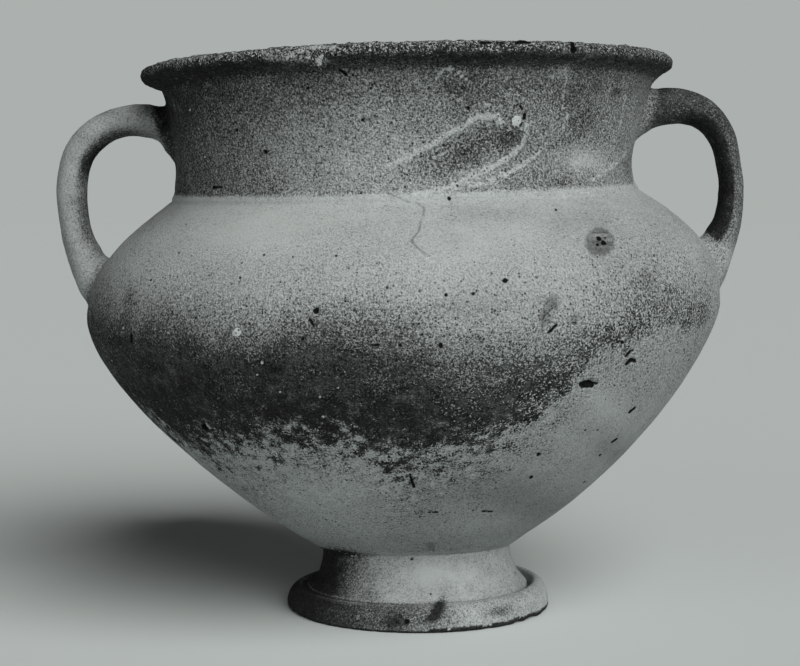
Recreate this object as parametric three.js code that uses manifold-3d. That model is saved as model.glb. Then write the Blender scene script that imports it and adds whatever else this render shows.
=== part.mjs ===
// A wide-mouthed, two-handled pottery jar on a ring foot: one fired piece, thrown by hand, hollow and empty.
// Millimetres, +Z up. The front faces -Y and the two handles stand out along X.
// The origin is the middle of the whole jar's box at the floor, and the foot stands a little to its +X side.
import * as THREE from "three";
import { mergeVertices } from "three/addons/utils/BufferGeometryUtils.js";
import Module from "manifold-3d";

// The soft clay leant, sagged and warped before it was fired.
const LEAN_DEGREES = 1.475; // the rim goes towards -X
const SAG = 5; // how far the belly's middle lies towards -X
const SAG_HEIGHT = 165;
const SAG_SPREAD = 60;
const RIM_DRIFT = 1.2; // the rim's middle comes back towards +X
const JOIN_DIP = 5; // the join of neck and shoulder is lower in front than at the sides
const JOIN_DIP_SPREAD = 34;
const STEM_RISE = 5; // the top of the stem is higher in front than at the sides
const STEM_RISE_SPREAD = 15;

// Foot: a rounded outer ring, a groove, and a stem that narrows upwards.
const RING_RADIUS = 83;
const RING_CREST_RADIUS = 75;
const RING_CREST_HEIGHT = 14.8;
const RING_FACE_PULL = 8.9; // how upright the ring's face starts
const RING_CREST_PULL = 4; // how softly it turns over at its crest
const GROOVE_RADIUS = 71;
const GROOVE_HEIGHT = 9.5;
const STEM_EDGE_RADIUS = 69.3; // the lower edge of the stem, which stands over the groove
const STEM_EDGE_HEIGHT = 13.4;
const STEM_FLARE_RADIUS = 63.6;
const STEM_FLARE_HEIGHT = 20.6;
const STEM_WAIST_RADIUS = 59.7;
const STEM_WAIST_HEIGHT = 31;
const STEM_TOP_RADIUS = 59.2;
const STEM_TOP_HEIGHT = 37.5;

// The hollow under the foot.
const HOLLOW_MOUTH_RADIUS = 63;
const HOLLOW_TOP_RADIUS = 38;
const HOLLOW_SIDE_HEIGHT = 27;
const HOLLOW_HEIGHT = 32;
const LEVELLING_STOCK = 6; // clay below the floor line, cut away level
const LEVEL_CUT_WIDTH = 400;
const LEVEL_CUT_DEPTH = 30;

// Body: a cone that swells to the belly, and a shoulder that turns in to the neck.
const BODY_START_RADIUS = 60.2;
const BODY_START_ANGLE = 34; // degrees above level
const BODY_START_PULL = 120;
const BELLY_RADIUS = 196.4;
const BELLY_HEIGHT = 189;
const BELLY_PULL_DOWN = 20;
const BELLY_PULL_UP = 40;
const SHOULDER_TOP_RADIUS = 145;
const SHOULDER_TOP_HEIGHT = 259.5;
const SHOULDER_TOP_ANGLE = 47; // degrees below level
const SHOULDER_TOP_PULL = 12;

// Neck, from the thin ridge where it was joined on, up to the lip.
const JOIN_RIDGE_RADIUS = 146;
const JOIN_RIDGE_HEIGHT = 262;
const NECK_START_RADIUS = 142.8;
const NECK_START_HEIGHT = 264.8;
const NECK_WAIST_RADIUS = 142;
const NECK_WAIST_HEIGHT = 284;
const NECK_TOP_RADIUS = 149;
const NECK_TOP_HEIGHT = 316;
const LIP_UNDERSIDE_RADIUS = 154;
const LIP_UNDERSIDE_HEIGHT = 327;
const LIP_RADIUS = 164.2;
const LIP_HEIGHT = 335.3;
const LIP_ROUNDING = 4.6;
const LIP_INNER_RADIUS = 152;
const LIP_TURN_START = -72; // degrees from level, where the lip's underside turns into its tip
const LIP_TURN_END = 90;

// Walls and the inside.
const WALL = 8.5;
const FLOOR_HEIGHT = 44.5; // the lowest point inside
const FLOOR_RADIUS = 48;
const FLOOR_DISH = 2;
const FLOOR_EDGE_INDEX = 1; // the corner of the body's outline at which the wall inside begins
const INNER_EDGE_DROP = 1; // how far the rim's inner edge is worn down
const ABOVE_RIM = 20;

// Handles: a bar of oval section, thick where it leaves the neck and smeared down onto the shoulder.
// Each middle line gives distance out from the axis and height, from inside the neck to inside the shoulder.
// Thicknesses and widths are those at even steps along it.
const LEFT_HANDLE = {
  side: -1,
  line: [[137, 303], [152, 308], [172, 310.2], [190, 305], [203.5, 291], [209.6, 271], [210, 253], [206, 236],
    [199, 220], [190.5, 204], [182, 189], [172.5, 171]],
  thicknesses: [32, 22.5, 19, 19, 19, 18.8, 18.6, 19, 24.5, 31, 27, 14],
  widths: [46, 33, 27, 26, 26, 26, 26, 28, 33, 42, 46, 40],
};
const RIGHT_HANDLE = {
  side: 1,
  line: [[136, 303], [151, 309], [171, 310], [187, 303.5], [198, 288], [202.6, 268], [202.6, 251], [200, 236],
    [195.5, 223], [190, 208], [184, 190], [175.5, 171]],
  thicknesses: [33, 25, 21.5, 18.8, 16, 14.8, 15, 17, 24, 27.5, 24, 14],
  widths: [48, 34, 28, 26, 25, 25, 25, 27, 32, 42, 46, 40],
};

// How finely the round shapes are cut into flats.
const ROUND_SEGMENTS = 60;
const RING_FACE_STEPS = 5;
const STEM_STEPS = 5;
const LOWER_BODY_STEPS = 9;
const UPPER_BODY_STEPS = 6;
const NECK_STEPS = 5;
const LIP_STEPS = 3;
const BAR_SEGMENTS = 26;
const BAR_HALF_SIDES = 7;
const SAME_CORNER = 1e-3; // corners nearer to each other than this are one

const CLAY = { color: 0x9aa29d, roughness: 0.9, metalness: 0 };

const wasm = await Module();
wasm.setup();

const point = (radius, height) => new THREE.Vector2(radius, height);
const bell = (distance) => Math.exp(-distance * distance);

// The point some way from another, at an angle above level.
function reach(from, degrees, distance) {
  const angle = THREE.MathUtils.degToRad(degrees);
  return point(from.x + distance * Math.cos(angle), from.y + distance * Math.sin(angle));
}

function footProfile() {
  const ringFace = new THREE.CubicBezierCurve(
    point(RING_RADIUS, 0),
    point(RING_RADIUS, RING_FACE_PULL),
    point(RING_CREST_RADIUS + RING_CREST_PULL, RING_CREST_HEIGHT),
    point(RING_CREST_RADIUS, RING_CREST_HEIGHT),
  );
  const stem = new THREE.SplineCurve([
    point(STEM_EDGE_RADIUS, STEM_EDGE_HEIGHT),
    point(STEM_FLARE_RADIUS, STEM_FLARE_HEIGHT),
    point(STEM_WAIST_RADIUS, STEM_WAIST_HEIGHT),
    point(STEM_TOP_RADIUS, STEM_TOP_HEIGHT),
  ]);
  return [
    point(0, HOLLOW_HEIGHT),
    point(HOLLOW_TOP_RADIUS, HOLLOW_SIDE_HEIGHT),
    point(HOLLOW_MOUTH_RADIUS, 0),
    point(HOLLOW_MOUTH_RADIUS, -LEVELLING_STOCK),
    point(RING_RADIUS, -LEVELLING_STOCK),
    ...ringFace.getPoints(RING_FACE_STEPS),
    point(GROOVE_RADIUS, GROOVE_HEIGHT),
    ...stem.getPoints(STEM_STEPS),
  ];
}

function bodyProfile() {
  const start = point(BODY_START_RADIUS, STEM_TOP_HEIGHT);
  const belly = point(BELLY_RADIUS, BELLY_HEIGHT);
  const top = point(SHOULDER_TOP_RADIUS, SHOULDER_TOP_HEIGHT);
  const lower = new THREE.CubicBezierCurve(
    start,
    reach(start, BODY_START_ANGLE, BODY_START_PULL),
    point(BELLY_RADIUS, BELLY_HEIGHT - BELLY_PULL_DOWN),
    belly,
  );
  const upper = new THREE.CubicBezierCurve(
    belly,
    point(BELLY_RADIUS, BELLY_HEIGHT + BELLY_PULL_UP),
    reach(top, -SHOULDER_TOP_ANGLE, SHOULDER_TOP_PULL),
    top,
  );
  return [...lower.getSpacedPoints(LOWER_BODY_STEPS), ...upper.getSpacedPoints(UPPER_BODY_STEPS).slice(1)];
}

function neckProfile() {
  const neck = new THREE.SplineCurve([
    point(NECK_START_RADIUS, NECK_START_HEIGHT),
    point(NECK_WAIST_RADIUS, NECK_WAIST_HEIGHT),
    point(NECK_TOP_RADIUS, NECK_TOP_HEIGHT),
    point(LIP_UNDERSIDE_RADIUS, LIP_UNDERSIDE_HEIGHT),
  ]);
  return [point(JOIN_RIDGE_RADIUS, JOIN_RIDGE_HEIGHT), ...neck.getPoints(NECK_STEPS)];
}

function lipProfile() {
  const tip = new THREE.EllipseCurve(
    LIP_RADIUS - LIP_ROUNDING,
    LIP_HEIGHT,
    LIP_ROUNDING,
    LIP_ROUNDING,
    THREE.MathUtils.degToRad(LIP_TURN_START),
    THREE.MathUtils.degToRad(LIP_TURN_END),
  );
  return [...tip.getPoints(LIP_STEPS), point(LIP_INNER_RADIUS, LIP_HEIGHT + LIP_ROUNDING)];
}

// The inside follows the outside of body and neck, a wall's thickness in, and rounds over at the rim.
function insideProfile() {
  const outline = [...bodyProfile(), ...neckProfile().slice(1)];
  const walls = outline.slice(FLOOR_EDGE_INDEX).map((corner, i) => {
    const before = outline[i + FLOOR_EDGE_INDEX - 1];
    const after = outline[i + FLOOR_EDGE_INDEX + 1] ?? corner;
    const ahead = after.clone().sub(before).normalize();
    return point(corner.x - ahead.y * WALL, corner.y + ahead.x * WALL);
  });
  const belowLip = walls.filter((corner) => corner.y < NECK_TOP_HEIGHT);
  return [
    point(0, FLOOR_HEIGHT),
    point(FLOOR_RADIUS, FLOOR_HEIGHT + FLOOR_DISH),
    ...belowLip,
    point(LIP_INNER_RADIUS - LIP_ROUNDING, LIP_HEIGHT - LIP_ROUNDING),
    point(LIP_INNER_RADIUS, LIP_HEIGHT + LIP_ROUNDING - INNER_EDGE_DROP),
    point(LIP_INNER_RADIUS + LIP_ROUNDING, LIP_HEIGHT + ABOVE_RIM),
    point(0, LIP_HEIGHT + ABOVE_RIM),
  ];
}

// Turns a profile about the Z axis.
function turned(profile) {
  return new THREE.LatheGeometry(profile, ROUND_SEGMENTS).rotateX(Math.PI / 2);
}

// Sizes at even steps, read smoothly at any share of the length.
function along(sizes) {
  const curve = new THREE.SplineCurve(sizes.map((size, i) => new THREE.Vector2(i, size)));
  return (share) => curve.getPoint(share).y;
}

// A straight oval bar of unit length, bent along the handle's middle line and given its sizes.
function bentBar({ side, line, thicknesses, widths }) {
  const oval = new THREE.Shape();
  oval.absellipse(0, 0, 0.5, 0.5, 0, Math.PI * 2, false);
  const bar = new THREE.ExtrudeGeometry(oval, {
    depth: 1,
    steps: BAR_SEGMENTS,
    curveSegments: BAR_HALF_SIDES,
    bevelEnabled: false,
  });
  const stations = line.map(([out, height]) => new THREE.Vector3(side * out, 0, height));
  const middle = new THREE.CatmullRomCurve3(stations);
  const thicknessAt = along(thicknesses);
  const widthAt = along(widths);
  const places = bar.getAttribute("position");
  const across = new THREE.Vector3();
  const placed = new THREE.Vector3();
  for (let i = 0; i < places.count; i += 1) {
    const share = THREE.MathUtils.clamp(places.getZ(i), 0, 1);
    const ahead = middle.getTangentAt(share);
    across.set(-ahead.z, 0, ahead.x);
    placed.copy(middle.getPointAt(share));
    placed.addScaledVector(across, places.getY(i) * thicknessAt(share));
    placed.y += places.getX(i) * widthAt(share);
    places.setXYZ(i, placed.x, placed.y, placed.z);
  }
  return bar;
}

// Moves every corner as the soft clay moved, then leans it about the middle of the foot.
function settled(geometry) {
  const places = geometry.getAttribute("position");
  const lean = THREE.MathUtils.degToRad(LEAN_DEGREES);
  for (let i = 0; i < places.count; i += 1) {
    const y = places.getY(i);
    const z = places.getZ(i);
    const drift = RIM_DRIFT * THREE.MathUtils.smoothstep(z, NECK_WAIST_HEIGHT, LIP_UNDERSIDE_HEIGHT);
    const x = places.getX(i) - SAG * bell((z - SAG_HEIGHT) / SAG_SPREAD) + drift;
    const joinWarp = JOIN_DIP * bell((z - SHOULDER_TOP_HEIGHT) / JOIN_DIP_SPREAD) / SHOULDER_TOP_RADIUS;
    const stemWarp = STEM_RISE * bell((z - STEM_TOP_HEIGHT) / STEM_RISE_SPREAD) / STEM_TOP_RADIUS;
    const height = z + y * (joinWarp - stemWarp);
    places.setX(i, x * Math.cos(lean) - height * Math.sin(lean));
    places.setZ(i, x * Math.sin(lean) + height * Math.cos(lean));
  }
  return geometry;
}

function solid(geometry) {
  const bare = geometry.clone();
  bare.deleteAttribute("normal");
  bare.deleteAttribute("uv");
  const merged = mergeVertices(bare, SAME_CORNER);
  return new wasm.Manifold(
    new wasm.Mesh({
      numProp: 3,
      vertProperties: merged.getAttribute("position").array,
      triVerts: new Uint32Array(merged.getIndex().array),
    }),
  );
}

function geometryOf(manifold) {
  const mesh = manifold.getMesh();
  const geometry = new THREE.BufferGeometry();
  geometry.setAttribute("position", new THREE.BufferAttribute(mesh.vertProperties, 3));
  geometry.setIndex(new THREE.BufferAttribute(mesh.triVerts, 1));
  geometry.computeVertexNormals();
  return geometry;
}

function buildJar() {
  const outside = solid(settled(turned([
    ...footProfile(),
    ...bodyProfile(),
    ...neckProfile(),
    ...lipProfile(),
    point(0, LIP_HEIGHT + LIP_ROUNDING),
  ])));
  const inside = solid(settled(turned(insideProfile())));
  const leftHandle = solid(settled(bentBar(LEFT_HANDLE)));
  const rightHandle = solid(settled(bentBar(RIGHT_HANDLE)));
  const ground = new THREE.BoxGeometry(LEVEL_CUT_WIDTH, LEVEL_CUT_WIDTH, LEVEL_CUT_DEPTH);
  ground.translate(0, 0, -LEVEL_CUT_DEPTH / 2);
  return outside.add(leftHandle).add(rightHandle).subtract(inside).subtract(solid(ground));
}

const jar = new THREE.Mesh(geometryOf(buildJar()), new THREE.MeshStandardMaterial(CLAY));
jar.name = "jar";
jar.geometry.computeBoundingBox();
jar.position.x = -(jar.geometry.boundingBox.min.x + jar.geometry.boundingBox.max.x) / 2;

const pot = new THREE.Group();
pot.add(jar);

export default pot;
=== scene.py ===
import math

import bmesh
import bpy
import numpy as np
from mathutils import Matrix, Vector, noise
from mathutils.bvhtree import BVHTree


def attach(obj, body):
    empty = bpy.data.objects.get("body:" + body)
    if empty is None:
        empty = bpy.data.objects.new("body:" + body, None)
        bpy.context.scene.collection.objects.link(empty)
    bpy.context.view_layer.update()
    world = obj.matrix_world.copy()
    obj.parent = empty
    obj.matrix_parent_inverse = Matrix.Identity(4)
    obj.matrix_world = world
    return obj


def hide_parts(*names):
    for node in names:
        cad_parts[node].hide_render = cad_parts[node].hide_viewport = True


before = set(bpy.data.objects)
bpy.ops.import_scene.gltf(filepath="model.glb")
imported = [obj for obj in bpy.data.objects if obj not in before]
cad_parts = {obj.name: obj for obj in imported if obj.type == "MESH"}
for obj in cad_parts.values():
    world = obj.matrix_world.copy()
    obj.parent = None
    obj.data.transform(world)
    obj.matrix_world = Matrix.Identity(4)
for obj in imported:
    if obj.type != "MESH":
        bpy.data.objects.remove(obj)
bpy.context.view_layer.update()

# A two-handled pottery jar. Its shape is worked out in millimetres and becomes metres when the mesh is made.
# The front faces -Y, and the photograph's left is -X.
MM = 0.001

# The photograph's frame, and the camera that its outlines fit, measured from the middle of the foot.
IMAGE_WIDTH = 800
IMAGE_HEIGHT = 666
FOCAL_PIXELS = 1764
SENSOR_WIDTH = 36
CAMERA_FROM_FOOT = (-11.4, -1110, 250)
CAMERA_DROP_DEGREES = 4
FOOT_X = 11.79

# The soft clay leant, sagged and warped.
LEAN_DEGREES = 1.475
SAG = 5
SAG_HEIGHT = 165
SAG_SPREAD = 60
RIM_DRIFT = 1.2
NECK_DRIFT = 1.9
NECK_DRIFT_HEIGHT = 272
NECK_DRIFT_SPREAD = 16
JOIN_DIP = 5
JOIN_DIP_SPREAD = 34
STEM_RISE = 5
STEM_RISE_SPREAD = 15
LEVEL_SHARE_HEIGHT = 12  # below this height the foot keeps itself level

# Outline, as (radius, height).
HOLLOW = [(0, 32), (38, 27), (63, 0)]
FOOT_EDGE = [(81.2, 0), (82.4, 0.4), (82.9, 1.8)]
RING_FACE = [(82.9, 1.8), (83.2, 9.6), (79, 14.8), (75, 14.8)]
GROOVE_OPEN = [(75, 14.8), (73.4, 14), (72.4, 11), (70.6, 8), (69.6, 9.5), (69.3, 13.4)]
GROOVE_CLOSED = [(75, 14.8), (73.4, 14.9), (72, 14.6), (71, 14.4), (70, 14.6), (69.3, 15.2)]
STEM = [(69.3, 13.4), (63.6, 20.6), (59.7, 31), (59.2, 37.5)]
BODY_START = (60.2, 37.5)
BODY_START_ANGLE = 34
BODY_START_PULL = 120
BELLY = (196.4, 189)
BELLY_PULL_DOWN = 20
BELLY_PULL_UP = 40
SHOULDER_TOP = (145, 259.5)
SHOULDER_TOP_ANGLE = 37.5
SHOULDER_TOP_PULL = 16.6
JOIN_RIDGE = [(145, 259.5), (145.1, 260.6), (144.6, 262), (143.5, 263.4), (142.8, 265.4)]
NECK = [(142.8, 265.4), (142, 284), (148.4, 316), (152, 327.5)]
LIP_MIDDLE = (159.6, 335.3)
LIP_ROUNDING = 4.6
LIP_TURN_START = -84
LIP_INNER = [(152, 339.9), (149.6, 338.9), (148, 336.2), (147.4, 330.7)]
WALL = 8.5
WALL_TOP_HEIGHT = 316
FLOOR = [(58, 50.5), (48, 46.5), (24, 45), (0, 44.5)]
FLOOR_HEIGHT = 52

# The handles: middle line as (distance out, height), with thickness and width at even steps along it.
LEFT_HANDLE = {
    "side": -1,
    "line": [(128, 299), (137, 299.4), (152, 307.4), (172, 310.2), (190.3, 304.8), (203.8, 291.4), (208, 271), (208.8, 253),
             (206, 236), (198.7, 220), (189.4, 204), (181.4, 189)],
    "thicknesses": [49, 24.5, 20.2, 19, 20.4, 19.5, 18.5, 18.6, 22.4, 25.7, 23],
    "widths": [46, 33, 27, 26, 26, 26, 26, 28, 33, 42, 46],
}
RIGHT_HANDLE = {
    "side": 1,
    "line": [(136, 303), (151, 309), (171, 310), (187.4, 303.5), (199.2, 288), (204.3, 268), (203.5, 251),
             (201, 236), (195.5, 223), (190, 208), (184, 190)],
    "thicknesses": [33, 25, 21.5, 18.8, 16, 14.8, 15, 17, 22.8, 25.5, 24],
    "widths": [48, 34, 28, 26, 25, 25, 25, 27, 32, 42, 46],
}
HANDLE_ROOT_DEPTH = 5  # how far the handles' roots reach into the wall

# How finely the surface is cut, in degrees and millimetres.
FRONT_HALF_DEGREES = 102
FRONT_STEP_DEGREES = 0.75
BACK_STEP_DEGREES = 2
FOOT_STEP = 1.6
BODY_STEP = 2.7
RIDGE_STEP = 1.1
NECK_STEP = 2.1
LIP_STEP = 1.4
INSIDE_STEP = 9
BAR_STEP = 2.6
BAR_SIDES = 30
FILLET_REACH = 11
FILLET_ROUNDS = 24

# Marks that the photograph shows, placed by its pixels as (across, down) and cast onto the surface from its camera.
# Single pits, as (across, down, radius, depth), and long ones, as (line, radius, depth). Sizes in millimetres.
ROUND_PITS = [
    (237, 130, 1.1, 0.8), (266, 152, 1.5, 1.1), (308, 88, 1.0, 0.7), (353, 75, 0.9, 0.7), (371, 88, 0.9, 0.6),
    (363, 120, 1.1, 0.8), (468, 108, 1.1, 0.8), (352, 192, 0.7, 0.5), (361, 193, 0.8, 0.6), (355, 138, 0.8, 0.5),
    (405, 187, 0.7, 0.5), (413, 187, 0.6, 0.5), (457, 186, 0.8, 0.5), (449, 199, 1.2, 0.4), (316.5, 311, 1.9, 1.6),
    (205, 427, 2.5, 2.0), (179, 253, 1.1, 0.8), (151, 280, 0.8, 0.6), (136, 292, 0.8, 0.6), (240, 278, 0.8, 0.6),
    (232, 284, 0.8, 0.6), (556, 210, 1.0, 0.6), (504.6, 281, 1.4, 0.9), (472.7, 294, 1.2, 0.8), (477, 291, 0.9, 0.6),
    (599, 239, 1.6, 0.9), (603, 243, 1.8, 1.0), (597, 245, 1.1, 0.7), (605, 238, 1.0, 0.6), (654, 256, 0.8, 0.6),
    (647, 368, 0.8, 0.5), (688, 320, 0.9, 0.6), (600, 455, 1.2, 0.7), (584, 482, 1.2, 0.7), (531, 477, 1.5, 0.8),
    (597, 430, 0.9, 0.6), (585, 430, 1.0, 0.6), (538, 454, 1.4, 0.7), (407, 622, 1.7, 0.8), (431, 594, 0.8, 0.4),
    (412, 559, 1.0, 0.5), (420, 291, 0.9, 0.5), (435, 283, 0.9, 0.5), (446, 295, 1.2, 0.7), (300, 291, 0.8, 0.5),
    (280, 282, 0.8, 0.5), (264, 255, 0.8, 0.5), (336, 256, 0.9, 0.5), (293, 257, 0.7, 0.5), (347, 267, 0.8, 0.5),
    (382, 310, 0.8, 0.5), (303, 339, 1.2, 0.8), (400, 345, 1.1, 0.8), (196, 318, 1.0, 0.7), (622, 342, 1.2, 0.7),
]
LONG_PITS = [
    ([(340, 70), (346, 74)], 1.1, 0.9), ([(214, 187.5), (222, 187)], 1.0, 0.7),
    ([(131.5, 334), (131.5, 342)], 1.0, 0.8), ([(548, 333), (556, 325)], 0.9, 0.8),
    ([(580.5, 384), (585, 382)], 1.7, 1.2), ([(584.5, 385), (589, 383)], 2.4, 1.6), ([(589, 381), (591.5, 385)], 1.6, 1.2),
    ([(592.5, 382.5), (596.5, 383.5)], 1.2, 0.9), ([(626, 363.5), (629, 361.5)], 1.2, 0.9), ([(630, 359.5), (634, 361)], 1.4, 1.0),
    ([(626, 356), (629, 352)], 1.1, 0.9), ([(630, 351), (633, 350)], 0.8, 0.7),
    ([(629, 412), (634, 408)], 1.2, 0.8), ([(429, 512), (437, 512)], 0.9, 0.6), ([(483, 511), (492, 511.5)], 0.9, 0.6),
    ([(410, 474), (412, 481), (414, 487)], 0.9, 0.7), ([(310, 319), (314, 326)], 0.9, 0.7),
    ([(371, 345), (379, 345)], 0.8, 0.5), ([(179, 440), (184, 446)], 0.9, 0.6),
    ([(612, 442), (616, 439)], 1.3, 0.8), ([(572, 43), (573, 51)], 1.6, 1.4), ([(480, 42.5), (490, 42.5)], 0.9, 0.9),
    ([(497, 43), (503, 43)], 0.8, 0.8), ([(516, 42.3), (530, 42.3)], 1.1, 1.1),
    ([(440, 344), (441, 347)], 1.1, 0.6), ([(520, 106), (522, 109)], 0.8, 0.8), ([(524.5, 114), (523.5, 119)], 1.0, 0.8),
    ([(522, 123), (520, 126)], 0.7, 0.6), ([(516, 106), (518, 104)], 0.6, 0.5),
]
# Thin raised streaks of lime crust, as (line, half width, strength).
CRUST_STREAKS = [
    ([(388, 165), (401, 161), (413, 154), (432, 145), (447, 134), (462, 128), (475, 118), (485, 115), (496, 117), (501, 123)], 1.7, 1.15),
    ([(413, 194), (440, 190), (458, 184), (469, 178), (486, 171), (499, 163), (515, 153), (523, 144), (526, 134), (527, 124)], 1.8, 1.15),
    ([(449, 190), (480, 184), (505, 175), (526, 163), (540, 152)], 2.0, 0.8), ([(453, 147), (451, 163), (439, 179)], 0.8, 0.6),
    ([(457, 169), (468, 177)], 0.7, 0.6), ([(530, 122), (537, 134), (534, 146)], 1.2, 0.4),
    ([(437, 79), (441, 72), (449, 68), (458, 72), (464, 80), (470, 87)], 1.3, 0.8),
    ([(446, 74), (450, 80), (456, 78)], 0.8, 0.6),
    ([(446, 98), (460, 101), (482, 104), (506, 106)], 0.9, 0.5),
    ([(498, 116), (505, 126), (514, 131), (524, 128)], 1.0, 0.75),
    ([(484, 124), (497, 121), (503, 132)], 0.8, 0.6),
    ([(436, 167), (447, 150), (455, 146)], 0.8, 0.6), ([(445, 172), (455, 162), (461, 156)], 0.8, 0.5),
    ([(566, 66), (565, 84), (563, 104), (568, 118), (562, 131)], 2.2, 0.55),
    ([(553, 82), (552, 68), (560, 63), (574, 64)], 1.2, 0.7),
    ([(628, 66), (626, 90), (622, 116), (619, 134)], 2.6, 0.55), ([(636, 70), (634, 100), (630, 134)], 1.8, 0.5),
    ([(583, 92), (596, 91), (608, 93)], 1.0, 0.6),
    ([(636, 142), (626, 153), (612, 167), (592, 180)], 1.6, 0.8),
    ([(173, 199), (230, 197), (300, 196), (370, 195), (400, 194)], 1.1, 0.6),
    ([(286, 56), (300, 50), (318, 46), (332, 48)], 0.9, 1.7), ([(270, 57), (286, 57), (307, 56), (322, 60), (326, 63)], 1.0, 1.8),
    ([(206, 424), (210, 429)], 0.9, 0.9), ([(150, 401), (170, 425), (200, 459)], 1.3, 0.35),
    ([(560, 196), (590, 192), (625, 187)], 1.6, 0.45),
    ([(330, 548), (352, 556), (372, 559)], 1.2, 0.6), ([(440, 557), (480, 556), (508, 550)], 0.9, 0.4),
    ([(360, 441), (372, 439)], 1.2, 0.8), ([(398, 431), (410, 427)], 1.0, 0.6),
]
# Specks and spots of crust, as (across, down, radius).
CRUST_SPOTS = [
    (237, 332, 2.4), (234, 334, 1.5), (427, 64, 0.9), (320, 397, 0.8), (323, 417, 0.9), (517, 121, 3.0),
    (420, 60, 0.6), (190, 110, 0.8), (199, 129, 0.6), (205, 157, 0.6), (123, 328, 0.9), (262, 363, 0.9),
    (168, 333, 0.7), (257, 375, 0.7), (112, 361, 0.7), (280, 392, 0.7), (338, 388, 0.7), (345, 372, 0.6),
]
# Soft patches, as (across, down, half length, half height, turn in degrees, stain, greyness, crust, grit).
PATCHES = [
    (458, 154, 42, 17, 27, 0.3, 0.12, -0.1, 0.9), (512, 138, 16, 12, 20, 0.34, 0.1, 0, 0.9), (580, 122, 15, 14, 0, 0.22, 0.1, 0, 0.4),
    (430, 120, 30, 10, 20, -0.02, 0, 0.1, 0.2), (455, 85, 14, 9, 0, 0.2, 0, 0, 0.5),
    (350, 165, 30, 15, 0, -0.12, -0.05, 0.2, 0.1), (345, 110, 26, 12, 10, -0.06, 0, 0.14, 0.1),
    (584, 160, 26, 13, -8, -0.28, 0.1, 0.03, -0.6), (560, 183, 10, 4, 0, 0.3, 0, 0, 0.4),
    (626, 166, 6, 9, 0, 0.12, 0.2, 0, 0), (617, 92, 5, 4, 0, 0.35, 0, 0, 0),
    (565, 72, 9, 7, 0, -0.25, 0, 0.28, 0), (517, 121, 5, 4, 0, -0.2, 0, 0.5, 0),
    (590, 222, 46, 16, 10, 0, 0.1, 0, 0), (400, 446, 24, 9, 8, -0.22, 0, 0.05, 0.1),
    (570, 95, 34, 14, 0, 0.14, 0, 0, 0.1), (600, 242, 8.6, 8.6, 0, 0.04, 0.75, -0.4, 0.1), (662, 303, 22, 18, 40, 0.04, 0.2, -0.3, 0.2),
    (648, 280, 14, 10, 0, 0.1, 0.2, 0, 0.2), (545, 317, 4, 3.5, 0, 0.05, 0.45, 0, 0), (553, 303, 5, 4, 0, 0, 0.4, -0.3, 0),
    (574, 319, 4, 3, 0, 0.05, 0.4, 0, 0), (475, 338, 12, 4, 8, 0.3, 0.1, 0, 0.2), (250, 240, 62, 20, 0, -0.1, -0.12, 0.05, -0.12),
    (470, 250, 40, 18, 10, -0.05, -0.06, 0.14, -0.1), (600, 300, 34, 20, 10, -0.02, -0.05, 0.14, 0.1),
    (650, 230, 20, 16, 40, 0, 0.1, 0, 0), (500, 215, 46, 8, -3, 0, 0.12, 0, 0.1),
    (320, 458, 34, 12, 4, -0.3, -0.05, 0.12, 0.2), (235, 390, 20, 10, 20, -0.12, 0, 0, 0.1), (280, 368, 16, 5, 30, 0.1, 0, 0, 0),
    (210, 368, 20, 8, 20, 0.14, 0, 0, 0), (440, 470, 34, 14, 8, 0.18, 0.1, 0, 0.2), (540, 450, 26, 12, -20, 0.16, 0.05, 0, 0.2),
    (600, 400, 26, 16, -40, -0.2, -0.1, 0.08, -0.4), (520, 500, 60, 24, -10, 0, 0.4, 0, 0), (610, 450, 24, 16, -45, 0, 0.25, 0, 0),
    (440, 575, 34, 9, 0, -0.2, -0.1, 0.12, -0.6), (438, 609, 5, 12, -28, 1.1, 0.2, -0.3, 0.1), (431, 618, 9, 4, 10, 0.5, 0.1, -0.2, 0),
    (500, 611, 12, 6, 10, 0.5, 0.15, -0.1, 0.1), (396, 621, 11, 6, 0, 0.5, 0.1, -0.1, 0.1), (370, 595, 8, 6, 0, 0.3, 0, 0, 0.1),
    (345, 552, 18, 4, -10, 0.5, 0, 0, 0.3), (130, 300, 6, 14, 0, 0.3, 0.1, 0, 0), (170, 440, 8, 26, 45, 0.05, 0.2, 0, 0),
    (390, 480, 22, 3, 10, 0.3, 0, 0, 0.1), (360, 500, 60, 12, 4, 0, 0.1, 0, 0), (465, 308, 46, 13, 4, 0.08, 0.22, 0, 0.1),
    (150, 112, 18, 8, 0, 0.3, 0.1, 0, 0.1), (162, 126, 8, 14, 0, 0.45, 0, 0, 0.1), (82, 138, 8, 10, 50, 0.2, 0.15, 0, 0.15),
    (72, 205, 7, 16, 0, 0.14, 0.15, 0, 0.1), (110, 113, 14, 6, -20, 0.12, 0.2, 0, 0.2), (470, 95, 34, 18, 0, 0.08, 0.1, 0, 0.1),
    (262, 464, 40, 14, -12, -0.16, 0, 0.22, 0), (320, 494, 52, 20, 4, -0.12, -0.25, 0.2, -0.15),
    (462, 62, 44, 12, 0, 0.12, 0, 0, 0.1), (130, 258, 40, 26, 35, -0.08, -0.06, 0.04, 0), (694, 256, 18, 34, 0, -0.12, -0.15, 0.06, -0.1),
    (330, 574, 10, 22, -10, 0.5, 0, 0, 0), (566, 142, 16, 10, 0, 0.1, 0, 0, 0.2),
]
# Stains with a clear round edge, as (across, down, radius, greyness). The radius is in pixels.
DISCS = [(600, 242, 14, 0.6), (545, 318, 7, 0.4), (552, 304, 8, 0.42), (574, 320, 6, 0.35), (431, 546, 4, 0.3)]
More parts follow.
